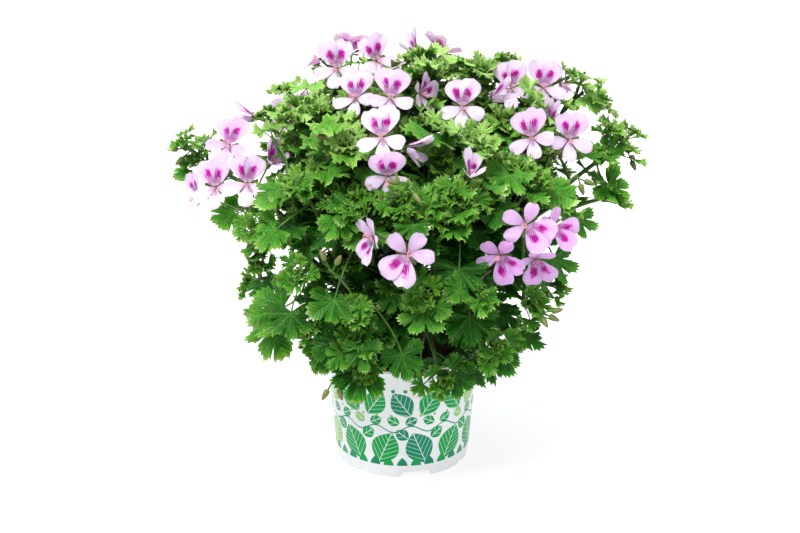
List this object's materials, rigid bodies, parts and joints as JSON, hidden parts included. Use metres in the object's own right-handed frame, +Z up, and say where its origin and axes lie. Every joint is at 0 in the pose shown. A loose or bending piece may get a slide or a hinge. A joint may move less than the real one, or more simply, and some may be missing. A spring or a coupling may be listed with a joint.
{
  "type": "potted lemon-scented geranium",
  "caption": "Bushy flowering pot plant: lobed leaves on branching stems, loose heads of pale pink veined flowers and drooping buds, growing from peat in a tapered white nursery pot.",
  "frame": {"origin": "on the pot's axis, at the level that the pot stands on", "axes": "+Z up the pot's axis, -Y the front, which most of the blooms face, +X to the right seen from the front"},
  "size_m": [0.3484, 0.3005, 0.3202],
  "materials": {
    "pot": "smooth white, semi-gloss, printed in greens",
    "peat": "loose dark peat, moist and crumbly",
    "foliage": "soft, finely hairy leaves, stems and buds",
    "petal": "thin, satin petals, pale lilac-pink with purple veins"
  },
  "bodies": {
    "root": {"pot": "pot", "peat": "peat", "stem_back_left": "foliage", "stem_back_middle": "foliage", "stem_back_near_right": "foliage", "stem_back_right": "foliage", "stem_front_left": "foliage", "stem_front_low": "foliage", "stem_front_middle": "foliage", "stem_front_right": "foliage", "stem_left_front": "foliage", "stem_left_sprig": "foliage", "stem_right_front": "foliage", "stem_right_sprig": "foliage", "stem_top_front": "foliage", "stem_top_left": "foliage", "stem_top_right": "foliage", "bloom_1_1": "petal", "bloom_1_2": "petal", "bloom_1_3": "petal", "bloom_1_4": "petal", "bloom_1_5": "petal", "bloom_2_1": "petal", "bloom_3_1": "petal", "bloom_3_2": "petal", "bloom_3_3": "petal", "bloom_3_4": "petal", "bloom_4_1": "petal", "bloom_4_2": "petal", "bloom_4_3": "petal", "bloom_4_4": "petal", "bloom_5_1": "petal", "bloom_5_2": "petal", "bloom_5_3": "petal", "bloom_6_1": "petal", "bloom_6_2": "petal", "bloom_7_1": "petal", "bloom_7_2": "petal", "bloom_8_1": "petal", "bloom_8_2": "petal", "bloom_8_3": "petal", "bloom_9_1": "petal", "bloom_9_2": "petal", "bloom_9_3": "petal", "bloom_10_1": "petal", "bloom_11_1": "petal", "bloom_11_2": "petal", "bloom_11_3": "petal", "bloom_11_4": "petal", "bloom_12_1": "petal", "bloom_12_2": "petal", "bloom_13_1": "petal", "bloom_13_2": "petal", "bloom_13_3": "petal", "bloom_14_1": "petal", "bloom_14_2": "petal", "bloom_15_1": "petal", "bloom_15_2": "petal"}
  },
  "joints": []
}
